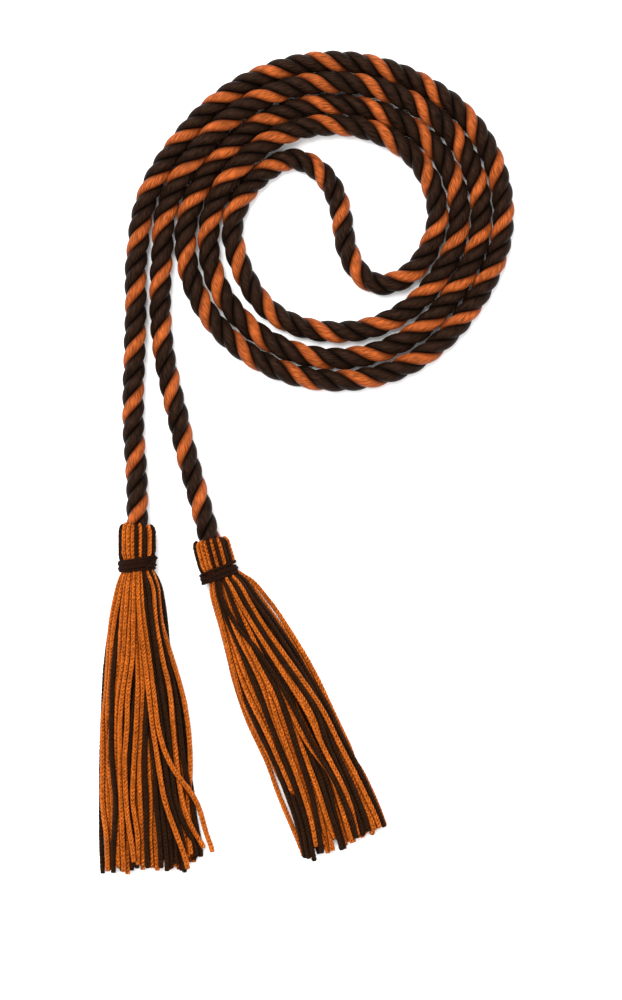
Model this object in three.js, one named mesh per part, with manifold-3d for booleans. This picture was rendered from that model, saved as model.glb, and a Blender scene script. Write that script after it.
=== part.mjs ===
// Honor cord: a twisted three-ply rope with a tassel bound on at each end, laid out flat.
// Millimetres, +Z up. The rope lies on Z = 0 as a double spiral: both of its arms wind outwards
// side by side from an S-bend in the middle, then run down as two legs to the tassels.

import * as THREE from "three";
import { mergeVertices } from "three/addons/utils/BufferGeometryUtils.js";
import Module from "manifold-3d";

// Rope
const ROPE_DIAMETER = 7.7; // over the crests of the plies
const VALLEY_DIAMETER = 5.9; // over the valleys between them
const TWIST_PITCH = 20.5; // mean length of one whole turn of the plies
const TWIST_START = -47; // degrees by which the orange ply is turned where the rope begins
const PLY_GAP = 0.3; // between two plies
const STEPS_PER_TURN = 5; // sections of a ply in one turn

// Coil
const COIL_RADIUS = 44; // mean radius of the lane that makes the first whole turn
const LANE_CLEARANCE = 0.35; // between two lanes of rope

// Head of a tassel: the strands' folded ends, with the rope's end tucked into it
const HEAD_WIDTH = 14.4;
const HEAD_HEIGHT = 11.8;
const ROPE_TUCK = 5; // depth of the recess for the rope
const ROPE_CLEARANCE = 0.3;
const RISE_LENGTH = 26; // the rope climbs from the surface to the head over this length

// Binding: thread wound round the neck, as high and wide as the head
const THREAD_DIAMETER = 1.2;
const THREAD_RELIEF = 0.3; // depth of the valleys between two windings
const BINDING_CLEARANCE = 0.3;

// Skirt
const LOCK_COUNT = 9;
const LOCK_OVERLAP = 1.4; // width of a lock over its share of the skirt's width
const LOCK_RELIEF = 0.1; // how much neighbouring locks differ in height, as a share
const SKIRT_ARCH = 0.38; // how much lower the skirt is at its sides, as a share
const CORE_LENGTH = 9; // the neck reaches into the skirt by this, and carries the locks

// Small clearances: of rope and windings over the surface, and of the rope's end in its recess
const SURFACE_CLEARANCE = 0.05;
const END_CLEARANCE = 0.3;

// Sections round the head and neck, and round the recess
const HEAD_SIDES = 14;
const RECESS_SIDES = 12;

// The coil's shape, a row for each direction seen from its middle, in degrees from +X:
// radius of the lane that is one lane out, as a share of COIL_RADIUS,
// spacing of the lanes, as a share of their diameter and clearance,
// slack by which the innermost lane lies further in, as the same share.
const COIL_TABLE = [
  { angle: 0, radius: 1.116, spacing: 1.0, slack: 0 },
  { angle: 30, radius: 1.084, spacing: 1.0, slack: 0 },
  { angle: 60, radius: 0.975, spacing: 0.97, slack: 0 },
  { angle: 90, radius: 0.893, spacing: 0.97, slack: 0 },
  { angle: 120, radius: 0.866, spacing: 0.945, slack: 0 },
  { angle: 150, radius: 0.886, spacing: 0.945, slack: 0 },
  { angle: 180, radius: 0.957, spacing: 1.05, slack: 0 },
  { angle: 210, radius: 0.998, spacing: 1.04, slack: 0.26 },
  { angle: 240, radius: 1.018, spacing: 1.0, slack: 0.17 },
  { angle: 270, radius: 1.036, spacing: 1.0, slack: 0.22 },
  { angle: 300, radius: 1.045, spacing: 1.05, slack: 0.08 },
  { angle: 330, radius: 1.064, spacing: 1.0, slack: 0 },
];

// How uneven the twist is: place as a share of the rope's length, then the turns by which the
// plies are ahead of an even twist there
const TWIST_TABLE = [
  { along: 0, ahead: 0 },
  { along: 0.16, ahead: 0.1 },
  { along: 0.24, ahead: 0.4 },
  { along: 0.3, ahead: 0.02 },
  { along: 0.45, ahead: -0.02 },
  { along: 0.53, ahead: -0.3 },
  { along: 0.57, ahead: 0.03 },
  { along: 0.7, ahead: -0.15 },
  { along: 0.775, ahead: -0.57 },
  { along: 0.84, ahead: -0.1 },
  { along: 0.9, ahead: 0 },
  { along: 1, ahead: 0 },
];

// The two arms, by the directions between which each winds. The riding one lies on its
// neighbours where they are closer than a lane's width.
const ARM_1 = { from: 180, to: 900, rides: false };
const ARM_2 = { from: 0, to: 540, rides: true };
const ARM_STEP = 10; // degrees between two points of an arm

// The S-bend from the start of arm 1 to that of arm 2, from the coil's middle
const S_BEND = [
  { x: -31.0, y: 7.9 },
  { x: -26.3, y: 14.6 },
  { x: -20.3, y: 19.8 },
  { x: -13.6, y: 23.0 },
  { x: -7.6, y: 22.3 },
  { x: -1.9, y: 18.8 },
  { x: 2.4, y: 13.4 },
  { x: 5.0, y: 7.0 },
  { x: 6.4, y: 0.0 },
  { x: 7.2, y: -6.3 },
  { x: 9.2, y: -12.6 },
  { x: 12.5, y: -18.2 },
  { x: 17.1, y: -21.8 },
  { x: 22.3, y: -22.5 },
  { x: 27.4, y: -20.9 },
  { x: 31.6, y: -18.2 },
  { x: 35.3, y: -14.2 },
  { x: 38.3, y: -8.8 },
];

// The legs, from the end of each arm to the mouth of its tassel
const LEG_1 = [
  { x: -0.9, y: -7.7 },
  { x: -1.8, y: -16.8 },
  { x: -1.8, y: -30.3 },
  { x: -2.2, y: -46.7 },
  { x: -2.7, y: -65.0 },
  { x: -2.5, y: -77.7 },
  { x: -1.6, y: -89.4 },
  { x: -1.1, y: -99.6 },
  { x: -1.1, y: -109.5 },
];
const LEG_2 = [
  { x: -0.4, y: -8.8 },
  { x: -1.1, y: -19.7 },
  { x: -1.2, y: -32.1 },
  { x: -0.2, y: -45.6 },
  { x: 2.2, y: -58.4 },
  { x: 5.3, y: -71.5 },
  { x: 7.8, y: -82.5 },
  { x: 10.8, y: -93.4 },
  { x: 13.5, y: -102.9 },
  { x: 15.3, y: -109.5 },
  { x: 16.8, y: -115.1 },
];

// The head, from its mouth to the neck: place as a share of its length, size as a share of its size
const HEAD_TABLE = [
  { along: 0, width: 0.8, height: 0.85 },
  { along: 0.14, width: 0.95, height: 0.96 },
  { along: 0.5, width: 1, height: 1 },
  { along: 1, width: 0.96, height: 0.97 },
];

// A skirt's outline: place as a share of its length, then its middle and half width as shares of
// its end width, and its height as a share of the head's
const SKIRT_TABLE_1 = [
  { along: 0, middle: 0.025, half: 0.17, height: 0.97 },
  { along: 0.08, middle: -0.015, half: 0.255, height: 0.95 },
  { along: 0.25, middle: -0.005, half: 0.315, height: 0.86 },
  { along: 0.46, middle: 0.055, half: 0.43, height: 0.74 },
  { along: 0.7, middle: 0.065, half: 0.45, height: 0.62 },
  { along: 1, middle: 0.1, half: 0.5, height: 0.5 },
];
const SKIRT_TABLE_2 = [
  { along: 0, middle: 0.02, half: 0.19, height: 0.97 },
  { along: 0.06, middle: 0.1, half: 0.3, height: 0.95 },
  { along: 0.22, middle: 0.175, half: 0.37, height: 0.86 },
  { along: 0.45, middle: 0.27, half: 0.44, height: 0.74 },
  { along: 0.7, middle: 0.42, half: 0.485, height: 0.62 },
  { along: 1, middle: 0.545, half: 0.5, height: 0.5 },
];

// A lock's section, anticlockwise about its way: shares of its half width and of its height
const LOCK_SECTION = [
  { across: 1, high: 0 },
  { across: 0.95, high: 0.62 },
  { across: 0.45, high: 1 },
  { across: -0.45, high: 1 },
  { across: -0.95, high: 0.62 },
  { across: -1, high: 0 },
];

// What differs between the two tassels. The ends are the locks' lengths as shares of the skirt's.
const TASSEL_1 = {
  headLength: 12,
  windings: 5,
  skirtLength: 110,
  endWidth: 36.8,
  outline: SKIRT_TABLE_1,
  ends: [0.98, 0.96, 0.99, 0.965, 0.985, 0.95, 0.975, 0.955, 0.94],
};
const TASSEL_2 = {
  headLength: 10.8,
  windings: 4,
  skirtLength: 106,
  endWidth: 32.4,
  outline: SKIRT_TABLE_2,
  ends: [0.93, 0.96, 0.95, 0.98, 0.965, 0.99, 0.975, 0.985, 0.96],
};

const ORANGE = new THREE.Color(0.8, 0.3, 0.08);
const DARK_BROWN = new THREE.Color(0.06, 0.04, 0.03);

const LANE_SPACING = ROPE_DIAMETER + LANE_CLEARANCE;
const ROPE_REST_HEIGHT = ROPE_DIAMETER / 2 + SURFACE_CLEARANCE;
const HEAD_AXIS_HEIGHT = HEAD_HEIGHT / 2;
const FULL_CIRCLE = 360;

const wasm = await Module();
wasm.setup();

// Route of the rope

// A Catmull-Rom value between two table rows, with the rows beyond them for the slope.
function smoothBetween(before, first, second, after, share) {
  const slopeFirst = (second - before) / 2;
  const slopeSecond = (after - first) / 2;
  const square = share * share;
  const cube = square * share;
  return (2 * cube - 3 * square + 1) * first
    + (cube - 2 * square + share) * slopeFirst
    + (3 * square - 2 * cube) * second
    + (cube - square) * slopeSecond;
}

// One column of the coil's table in any direction; the table closes on itself.
function coilValue(column, degrees) {
  const rows = COIL_TABLE.length;
  const place = (((degrees % FULL_CIRCLE) + FULL_CIRCLE) % FULL_CIRCLE) / (FULL_CIRCLE / rows);
  const row = Math.floor(place);
  const at = (offset) => COIL_TABLE[(row + offset + rows) % rows][column];
  return smoothBetween(at(-1), at(0), at(1), at(2), place - row);
}

// A point of an arm. Each arm moves out by two lanes in a turn, since the other lies between.
function armPoint(arm, degrees) {
  const lane = (2 * (degrees - arm.from)) / FULL_CIRCLE;
  const spacing = coilValue("spacing", degrees);
  const slack = lane < 1 ? coilValue("slack", degrees) : 0;
  const radius = COIL_RADIUS * coilValue("radius", degrees) + LANE_SPACING * ((lane - 1) * spacing - slack);
  const crowding = Math.sqrt(Math.max(0, 1 - spacing * spacing));
  const lift = arm.rides ? LANE_SPACING * crowding : 0;
  const angle = THREE.MathUtils.degToRad(degrees);
  return new THREE.Vector3(radius * Math.cos(angle), radius * Math.sin(angle), ROPE_REST_HEIGHT + lift);
}

function armPoints(arm) {
  const points = [];
  for (let degrees = arm.from; degrees <= arm.to; degrees += ARM_STEP) points.push(armPoint(arm, degrees));
  return points;
}

// A leg's points. Near its tassel it rises to the height of the head's axis.
function legPoints(armEnd, leg) {
  const mouth = leg[leg.length - 1];
  const climb = HEAD_AXIS_HEIGHT - ROPE_REST_HEIGHT;
  return leg.map(({ x, y }) => {
    const left = Math.hypot(mouth.x - x, mouth.y - y);
    const height = ROPE_REST_HEIGHT + climb * (1 - THREE.MathUtils.smoothstep(left, 0, RISE_LENGTH));
    return new THREE.Vector3(armEnd.x + x, armEnd.y + y, height);
  });
}

// Where a leg enters its tassel, and the way the tassel points from there.
function mouthOf(points) {
  const mouth = points[points.length - 1];
  const way = mouth.clone().sub(points[points.length - 2]).setZ(0).normalize();
  return { mouth, way };
}

const arm1 = armPoints(ARM_1);
const arm2 = armPoints(ARM_2);
const leg1 = legPoints(arm1[arm1.length - 1], LEG_1);
const leg2 = legPoints(arm2[arm2.length - 1], LEG_2);
const mouth1 = mouthOf(leg1);
const mouth2 = mouthOf(leg2);
const tucked = (at) => at.mouth.clone().addScaledVector(at.way, ROPE_TUCK - END_CLEARANCE);
const bend = S_BEND.map(({ x, y }) => new THREE.Vector3(x, y, ROPE_REST_HEIGHT));

export const ropeRoute = new THREE.CatmullRomCurve3([
  tucked(mouth1),
  ...leg1.reverse(),
  ...arm1.reverse(),
  ...bend,
  ...arm2,
  ...leg2,
  tucked(mouth2),
], false, "centripetal");
ropeRoute.arcLengthDivisions = 6000;

// Solids from sections

// A closed solid through sections of equal point counts. The points of a section run
// anticlockwise about the way in which the sections follow each other. leansBack says of which
// faces the diagonal joins a section's point to the next section's following one.
function loft(sections, leansBack = () => false) {
  const count = sections[0].length;
  const corners = sections.flat().flatMap((point) => [point.x, point.y, point.z]);
  const faces = [];
  for (let row = 0; row < sections.length - 1; row += 1) {
    for (let side = 0; side < count; side += 1) {
      const a = row * count + side;
      const b = row * count + ((side + 1) % count);
      const c = b + count;
      const d = a + count;
      if (leansBack(side)) faces.push(a, b, c, a, c, d);
      else faces.push(a, b, d, b, c, d);
    }
  }
  const last = (sections.length - 1) * count;
  for (let side = 1; side < count - 1; side += 1) {
    faces.push(0, side + 1, side);
    faces.push(last, last + side, last + side + 1);
  }
  return geometryOf(corners, faces);
}

// A closed ring through sections that come round to the first again.
function ringLoft(sections) {
  const count = sections[0].length;
  const corners = sections.flat().flatMap((point) => [point.x, point.y, point.z]);
  const faces = [];
  for (let row = 0; row < sections.length; row += 1) {
    const next = (row + 1) % sections.length;
    for (let side = 0; side < count; side += 1) {
      const a = row * count + side;
      const b = row * count + ((side + 1) % count);
      const c = next * count + ((side + 1) % count);
      const d = next * count + side;
      faces.push(a, b, d, b, c, d);
    }
  }
  return geometryOf(corners, faces);
}

function geometryOf(corners, faces) {
  const geometry = new THREE.BufferGeometry();
  geometry.setAttribute("position", new THREE.Float32BufferAttribute(corners, 3));
  geometry.setIndex(faces);
  return geometry;
}

function solidOf(geometry) {
  const bare = geometry.clone();
  bare.deleteAttribute("normal");
  bare.deleteAttribute("uv");
  const merged = mergeVertices(bare);
  return new wasm.Manifold(new wasm.Mesh({
    numProp: 3,
    vertProperties: new Float32Array(merged.attributes.position.array),
    triVerts: new Uint32Array(merged.index.array),
  }));
}

function geometryFrom(solid) {
  const mesh = solid.getMesh();
  return geometryOf(Array.from(mesh.vertProperties), Array.from(mesh.triVerts));
}

function yarn(name, geometry, color, roughness) {
  geometry.computeVertexNormals();
  const material = new THREE.MeshStandardMaterial({ color, roughness, metalness: 0 });
  const mesh = new THREE.Mesh(geometry, material);
  mesh.name = name;
  return mesh;
}

// Plies

// A ply's section is a kite: its tip near the rope's axis, two flanks that face its neighbours
// across the ply gap, and its crest on the rope's outside.
function plySection(centre, side, up, turn) {
  const halfGap = PLY_GAP / 2;
  const sixth = Math.PI / 3;
  const valley = VALLEY_DIAMETER / 2;
  const place = (angle, radius, inset) => centre.clone()
    .addScaledVector(side, radius * Math.cos(angle) - inset * Math.sin(angle))
    .addScaledVector(up, radius * Math.sin(angle) + inset * Math.cos(angle));
  return [
    place(turn, halfGap / Math.sin(sixth), 0),
    place(turn - sixth, valley, halfGap),
    place(turn, ROPE_DIAMETER / 2, 0),
    place(turn + sixth, valley, -halfGap),
  ];
}

// The faces that meet a neighbouring ply both have their diagonal from the valley to the next tip.
const FLANK_BEFORE_TIP = 3;

// The turns made since the rope's start at a share of its length.
function turnsAt(share, length) {
  const next = TWIST_TABLE.findIndex((row, place) => place > 0 && row.along >= share);
  const [low, high] = [TWIST_TABLE[next - 1], TWIST_TABLE[next]];
  const between = (share - low.along) / (high.along - low.along);
  return (share * length) / TWIST_PITCH + THREE.MathUtils.lerp(low.ahead, high.ahead, between);
}

function plyGeometry(ply) {
  const length = ropeRoute.getLength();
  const steps = Math.round((length / TWIST_PITCH) * STEPS_PER_TURN);
  const vertical = new THREE.Vector3(0, 0, 1);
  const sections = [];
  for (let step = 0; step <= steps; step += 1) {
    const share = step / steps;
    const along = ropeRoute.getTangentAt(share);
    const side = vertical.clone().cross(along).normalize();
    const up = along.clone().cross(side);
    const turn = 2 * Math.PI * (turnsAt(share, length) + ply / 3) + THREE.MathUtils.degToRad(TWIST_START);
    sections.push(plySection(ropeRoute.getPointAt(share), side, up, turn));
  }
  return loft(sections, (side) => side === FLANK_BEFORE_TIP);
}

// Tassels. Each is made pointing along -Y from its mouth at the origin, on the surface Z = 0.

// An oval about the head's axis, anticlockwise about -Y.
function oval(along, halfWidth, halfHeight) {
  const points = [];
  for (let side = 0; side < HEAD_SIDES; side += 1) {
    const angle = (2 * Math.PI * (side + 0.5)) / HEAD_SIDES;
    points.push(new THREE.Vector3(
      halfWidth * Math.cos(angle),
      -along,
      HEAD_AXIS_HEIGHT + halfHeight * Math.sin(angle),
    ));
  }
  return points;
}

// Sizes of the neck, on which the binding sits level with the head's greatest width.
const NECK_HALF_WIDTH = HEAD_WIDTH / 2 - THREAD_DIAMETER - BINDING_CLEARANCE;
const NECK_HALF_HEIGHT = HEAD_HEIGHT / 2 - THREAD_DIAMETER - BINDING_CLEARANCE - SURFACE_CLEARANCE;

function bindingWidth(tassel) {
  return tassel.windings * THREAD_DIAMETER;
}

function neckEnd(tassel) {
  return tassel.headLength + bindingWidth(tassel) + 2 * BINDING_CLEARANCE;
}

// Head and neck, with a core that reaches into the skirt and carries the locks.
function headSolid(tassel) {
  const halfWidth = HEAD_WIDTH / 2;
  const halfHeight = HEAD_HEIGHT / 2;
  const sections = HEAD_TABLE.map((row) => (
    oval(row.along * tassel.headLength, row.width * halfWidth, row.height * halfHeight)
  ));
  sections.push(oval(tassel.headLength, NECK_HALF_WIDTH, NECK_HALF_HEIGHT));
  sections.push(oval(neckEnd(tassel) + CORE_LENGTH, NECK_HALF_WIDTH, NECK_HALF_HEIGHT));
  return solidOf(loft(sections));
}

function recessSolid() {
  const fit = (ROPE_DIAMETER / 2 + ROPE_CLEARANCE) / Math.cos(Math.PI / RECESS_SIDES);
  const depth = 2 * ROPE_TUCK;
  const cylinder = new THREE.CylinderGeometry(fit, fit, depth, RECESS_SIDES);
  cylinder.translate(0, 0, HEAD_AXIS_HEIGHT);
  return solidOf(cylinder);
}

// One lock of the skirt: flat below, round above, and wide enough to run into its neighbours.
function lockSolid(tassel, lock) {
  const across = (2 * lock) / (LOCK_COUNT - 1) - 1;
  const arch = 1 - SKIRT_ARCH * across * across;
  const uneven = 1 + (lock % 2 === 0 ? LOCK_RELIEF : -LOCK_RELIEF) / 2;
  const sections = tassel.outline.map((row) => {
    const half = row.half * tassel.endWidth;
    const wide = (LOCK_OVERLAP * half) / LOCK_COUNT;
    const middle = row.middle * tassel.endWidth + across * (half - wide);
    const high = HEAD_HEIGHT * row.height * arch * uneven;
    const along = neckEnd(tassel) + row.along * tassel.ends[lock] * tassel.skirtLength;
    return LOCK_SECTION.map((corner) => (
      new THREE.Vector3(middle + corner.across * wide, -along, corner.high * high)
    ));
  });
  return solidOf(loft(sections));
}

function tasselGeometry(tassel) {
  let solid = headSolid(tassel);
  for (let lock = 0; lock < LOCK_COUNT; lock += 1) solid = solid.add(lockSolid(tassel, lock));
  return geometryFrom(solid.subtract(recessSolid()));
}

// The binding's section, from its end to its start along the outside, with a crest for each
// winding, and back along the neck.
function bindingProfile(tassel) {
  const start = tassel.headLength + BINDING_CLEARANCE;
  const end = start + bindingWidth(tassel);
  const profile = [];
  for (let winding = 0; winding < tassel.windings; winding += 1) {
    if (winding > 0) {
      profile.push({ along: end - winding * THREAD_DIAMETER, out: THREAD_DIAMETER - THREAD_RELIEF });
    }
    profile.push({ along: end - (winding + 0.5) * THREAD_DIAMETER, out: THREAD_DIAMETER });
  }
  profile.push({ along: start, out: 0 }, { along: end, out: 0 });
  return profile;
}

function bindingGeometry(tassel) {
  const profile = bindingProfile(tassel);
  const rings = profile.map(({ along, out }) => (
    oval(along, NECK_HALF_WIDTH + BINDING_CLEARANCE + out, NECK_HALF_HEIGHT + BINDING_CLEARANCE + out)
  ));
  const sections = [];
  for (let side = 0; side < HEAD_SIDES; side += 1) sections.push(rings.map((ring) => ring[side]));
  return ringLoft(sections);
}

// Puts what was made about a tassel's mouth where the rope enters it.
function atMouth(mesh, { mouth, way }) {
  mesh.position.set(mouth.x, mouth.y, 0);
  mesh.rotation.z = Math.atan2(way.x, -way.y);
  return mesh;
}

const model = new THREE.Group();
model.add(
  yarn("ply_orange", plyGeometry(0), ORANGE, 0.55),
  yarn("ply_brown_1", plyGeometry(1), DARK_BROWN, 0.6),
  yarn("ply_brown_2", plyGeometry(2), DARK_BROWN, 0.6),
  atMouth(yarn("tassel_1", tasselGeometry(TASSEL_1), ORANGE, 0.65), mouth1),
  atMouth(yarn("tassel_2", tasselGeometry(TASSEL_2), ORANGE, 0.65), mouth2),
  atMouth(yarn("binding_1", bindingGeometry(TASSEL_1), DARK_BROWN, 0.6), mouth1),
  atMouth(yarn("binding_2", bindingGeometry(TASSEL_2), DARK_BROWN, 0.6), mouth2),
);

// The origin is the middle of the outline on the surface.
model.updateMatrixWorld(true);
const outline = new THREE.Box3().setFromObject(model);
const middle = outline.getCenter(new THREE.Vector3());
model.position.set(-middle.x, -middle.y, -outline.min.z);
model.updateMatrixWorld(true);

export default model;
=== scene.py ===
import math

import bpy
import numpy as np
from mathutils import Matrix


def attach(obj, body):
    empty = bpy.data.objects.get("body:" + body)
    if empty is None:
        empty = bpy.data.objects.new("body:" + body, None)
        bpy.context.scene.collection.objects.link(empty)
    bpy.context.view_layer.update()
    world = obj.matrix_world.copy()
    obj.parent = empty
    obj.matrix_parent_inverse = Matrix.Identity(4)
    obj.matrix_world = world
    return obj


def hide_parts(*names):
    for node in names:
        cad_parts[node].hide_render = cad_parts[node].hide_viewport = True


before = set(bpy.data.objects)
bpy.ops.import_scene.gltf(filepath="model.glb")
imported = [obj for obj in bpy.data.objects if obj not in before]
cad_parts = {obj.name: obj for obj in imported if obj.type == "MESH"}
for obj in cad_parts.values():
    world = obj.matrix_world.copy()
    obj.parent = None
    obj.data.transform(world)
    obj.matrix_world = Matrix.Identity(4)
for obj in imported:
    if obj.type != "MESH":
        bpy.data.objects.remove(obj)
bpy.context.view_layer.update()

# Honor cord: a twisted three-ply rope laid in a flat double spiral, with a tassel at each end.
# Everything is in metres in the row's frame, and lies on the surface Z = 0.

MM = 0.001
SEED = 11
LOWEST = 0.03 * MM  # over the surface
FAR = 1.0
UV_PER_METRE = 100

# Camera: straight above, as far off as a product is photographed from
VIEW_LENGTH = 365 * MM  # what the photograph's long side covers
VIEW_MIDDLE = (2.135 * MM, -14.315 * MM)
LENS = 100.0
SENSOR = 36.0
CLIP = (0.01, 20.0)
OBJECT_HEIGHT = 6 * MM  # the height at which the view has its length

# Rope: its thickness and route are the CAD's
ROPE_DIAMETER = 7.7 * MM
LANE_CLEARANCE = 0.35 * MM
SURFACE_CLEARANCE = 0.05 * MM
TWIST_PITCH = 20.5 * MM
TWIST_START = -47.0  # degrees
COIL_RADIUS = 44 * MM
HEAD_WIDTH = 14.4 * MM
HEAD_HEIGHT = 11.8 * MM
ROPE_TUCK = 5 * MM
END_CLEARANCE = 0.3 * MM
RISE_LENGTH = 26 * MM
COIL_MIDDLE = (7.245 * MM, 87.155 * MM)
LANE_SPACING = ROPE_DIAMETER + LANE_CLEARANCE
REST_HEIGHT = ROPE_DIAMETER / 2 + SURFACE_CLEARANCE
AXIS_HEIGHT = HEAD_HEIGHT / 2

# The coil's shape every 30 degrees from +X: radius, spacing of the lanes, slack of the innermost
COIL_TABLE = np.array([
    (1.116, 1.0, 0), (1.084, 1.0, 0), (0.975, 0.97, 0), (0.893, 0.97, 0),
    (0.866, 0.945, 0), (0.886, 0.945, 0), (0.957, 1.05, 0), (0.998, 1.04, 0.26),
    (1.018, 1.0, 0.17), (1.036, 1.0, 0.22), (1.045, 1.05, 0.08), (1.064, 1.0, 0),
])
# How uneven the twist is: share of the length, then turns ahead of an even twist.
# The last row is the scene's own, the others are the CAD's
TWIST_TABLE = np.array([
    (0, 0), (0.16, 0.1), (0.24, 0.4), (0.3, 0.02), (0.45, -0.02), (0.53, -0.3),
    (0.57, 0.03), (0.7, -0.15), (0.775, -0.57), (0.84, -0.1), (0.9, 0), (1, -0.1),
])
# The coil's arms: first and last direction in degrees, and whether it rides up in narrow lanes
ARM_1 = (180, 900, False)
ARM_2 = (0, 540, True)
ARM_STEP = 10
S_BEND = MM * np.array([
    (-31.0, 7.9), (-26.3, 14.6), (-20.3, 19.8), (-13.6, 23.0), (-7.6, 22.3), (-1.9, 18.8),
    (2.4, 13.4), (5.0, 7.0), (6.4, 0.0), (7.2, -6.3), (9.2, -12.6), (12.5, -18.2),
    (17.1, -21.8), (22.3, -22.5), (27.4, -20.9), (31.6, -18.2), (35.3, -14.2), (38.3, -8.8),
])
LEG_1 = MM * np.array([
    (-0.9, -7.7), (-1.8, -16.8), (-1.8, -30.3), (-2.2, -46.7), (-2.7, -65.0),
    (-2.5, -77.7), (-1.6, -89.4), (-1.1, -99.6), (-1.1, -109.5),
])
LEG_2 = MM * np.array([
    (-0.4, -8.8), (-1.1, -19.7), (-1.2, -32.1), (-0.2, -45.6), (2.2, -58.4), (5.3, -71.5),
    (7.8, -82.5), (10.8, -93.4), (13.5, -102.9), (15.3, -109.5), (16.8, -115.1),
])
ROPE_SPAN_STEPS = 24

# Ply: a round lobe about its own middle, fuller than the CAD's, cut by its two flanks
LOBE_MIDDLE = 1.45 * MM
LOBE_RADIUS = 2.7 * MM
LOBE_HALF_ANGLE = 57  # degrees
LOBE_POINTS = 11
FLANK_ANGLE = 60  # degrees
FLANK_PLACES = (2.6 * MM, 1.3 * MM)
PLY_GAP = 0.06 * MM
PLY_THINNER = 0.02  # share, in places
PLY_UNEVEN_EVERY = 9  # rings
RINGS_PER_TURN = 26

# Head of a tassel: how it rounds off, and the outer strands' folds
SHOULDER = 0.3  # share of the head
SHOULDER_NARROWS = 0.16
SHOULDER_LOWERS = 0.1
HEAD_EASE = 4 * MM  # to the strands' full size
HEAD_SHARES = (0.03, 0.1, 0.22, 0.45, 0.7, 0.88)
FOLD_INWARD = 0.55 * MM
FOLD_DOWN = 0.3  # as a share of that
FOLD_UNEVEN = 0.7  # mm
FOLD_LOWER = 1.1  # mm, at the right
LOWER_SIDE = (203, 337, 9)  # its lower strands: from and to degrees, and how many
HEAD_SIZES = (0.95, 0.9)  # a strand's radius there and at the binding, as shares
HEAD_TO_NECK = 1.2 * MM
BULGE_FULL = 0.9  # how far to the left its bulge is full
INSIDE_SHARE = 0.9  # the other strands start nearer the axis, this deep in the head
INSIDE_DEPTH = 4.5 * MM
END_STEP = 0.4 * MM

# Strands of the tassels: a knitted cord of V-shaped stitches
STRAND_RADIUS = 1.02 * MM
STITCH = 1.4 * MM
STRAND_SPAN_STEPS = 10
FINE = (4, 12)  # rings a stitch, and sides, of a strand that shows
COARSE = (3, 8)  # and of one below
ROLL_START = 0.2  # radians
ROLL = (0.25, 80)  # turns about itself: radians, and rings between changes
DRIFT = (0.35, 18)  # uneven spacing: stitches, and rings
SWELL = (0.05, 14)  # uneven thickness: share, and rings
V_LENGTH = 0.9  # stitches
ROUGHNESS = 0.26  # of the relief
VALLEY = 0.26  # relief between two stitches
SEAM = (0.38, 0.22)  # where the Vs meet: depth and half width
FLATTENED = (1.05, 0.1)  # height, and how much narrower it is
RELIEF_SIZE = (0.77, 0.25)  # radius of the valleys, and rise to the crests
END_SIZES = ((0.72, 0.92), (0.95, 0.8))  # of its first and last rings
# painted shade where a strand lies close against another
CREVICE_SHADE = (0.95, 0.5)  # how near another strand's middle is dark, and the fade, in radii
NECK_SQUEEZE = 0.7  # a strand's radius under the binding, as a share
# and lower down: share of the skirt's length, then of the full radius
FULLNESS = np.array([(-0.02, 0.7), (0.01, 0.79), (0.12, 0.87), (0.3, 0.96), (0.5, 1.02)])
NECK_HALF_WIDTH = 5.7 * MM
NECK_HALF_HEIGHT = 4.35 * MM
NECK_SPARE = 0.6 * MM  # from the last winding to the skirt

# Packing of the strands, side by side and over one another
STATION = 2.5 * MM  # between the places where it is worked out
PACK_START = 0.5 * MM  # from the head's end
PACK_END = 1.03  # as a share of the skirt's length
PACK_STEPS = 300
EASE_STEPS = 240  # the pull to the goals slackens over these
PULL_LEFT = 0.3  # share of it that stays
PULL_CHARTED = (0.25, 0.125)  # across and up
PULL_UNDER = (0.2, 0.125)
PUSH = (0.16, 0.42)  # apart, across and up
LIFT = 0.25
SMOOTHING = 0.35
SQUASH = 0.96  # how near two strands come, in thicknesses
CROSSING = 0.4 * MM  # by which crossing strands change sides
RANK_UNEVEN = 0.2
LAYER_RISE = 1.7  # radii
LAYER_UNEVEN = (0.12, 9)  # layers, and stations
LAYER_SHARES = (0.15, 0.5)  # of the length, at which a strand's two layers hold
ROOM = 0.9 * MM  # for a charted strand outside the pile
LAYER_ROOM = 1.3  # mm more for each layer
WANDER = (0.3, 11)  # mm, and stations
WANDER_FROM = 4  # full from a fourth of the length on
JITTER = 0.05  # mm
NECK_SHARE = 0.62  # of a charted place, in the neck
SPREAD = (0.015, 0.04)  # how early it spreads from there, and over what share
PILE_EDGE = 0.15  # share over which the pile settles on the surface
HEIGHTS_UNDER = (1.0, 1.6)  # of the lower strands, in radii
JITTER_UNDER = 0.05
EDGE_UNDER = 0.97
BROWN_UNDER = 0.5  # share of them that is brown
CUTS_UNDER = (0.94, 0.995)
LOOSE = 2  # outer strands at each side with none below them
CHART_SHARES = (0.04, 0.16, 0.28, 0.4, 0.52, 0.64, 0.76, 0.88)
CHART_MARGIN = 0.25  # share to the places before the first and after the last
CHART_START = 0.9  # the place before the first, as a share of it
CHART_BEYOND = 1.3  # how far a row is carried on, in steps

# Binding thread
THREAD_DIAMETER = 1.2 * MM
THREAD_SIDES = 10
THREAD_RING = 0.22 * MM
THREAD_SPAN_STEPS = 6
THREAD_TWIST = 2.0 * MM
THREAD_SIZE = (0.7, 0.32)  # radius of its valleys, and rise to the lobes, as shares
HALF_STEPS = 14  # points in half a winding
WAVER = (0.22, 5)  # mm along the head, and points
THREAD_SWELL = (0.12, 6)  # mm outwards, and points
WINDING_GAP = (0.05, 0.1)  # mm to the neck at its sides and over it
OVER_GAP = (0.9, 0.85)  # the same for a thread over the others
OVER_SINK = 1.1  # mm by which its ends go in

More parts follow.
